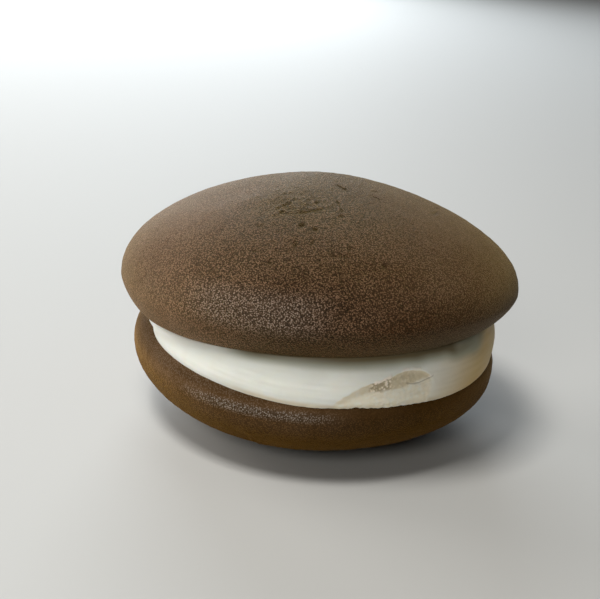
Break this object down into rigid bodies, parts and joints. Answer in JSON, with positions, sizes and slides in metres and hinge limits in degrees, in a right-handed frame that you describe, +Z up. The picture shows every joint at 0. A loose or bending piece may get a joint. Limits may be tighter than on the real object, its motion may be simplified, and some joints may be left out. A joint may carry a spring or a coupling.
{
  "type": "whoopie pie",
  "caption": "Round sandwich of domed cocoa cakes, flat sides facing, with a thick slanting layer of pale cream between them.",
  "frame": {"origin": "centre of the whole pie's box in plan, on the surface it rests on", "axes": "+Z up, through both cakes; the front, -Y, is where the cream shows most"},
  "size_m": [0.098, 0.0978, 0.0624],
  "materials": {
    "upper_cake": "dark cocoa cake crust, matt, finely grained and porous, with a faint grey bloom on the shoulders",
    "cream": "pale ivory cream, soft satin, smooth with fine streaks and a beige smear of crumb",
    "lower_cake": "dark cocoa cake crust, matt, finely grained, browner at the edge next to the cream"
  },
  "bodies": {
    "root": {"top_cake": "upper_cake", "cream_filling": "cream", "bottom_cake": "lower_cake"}
  },
  "joints": []
}
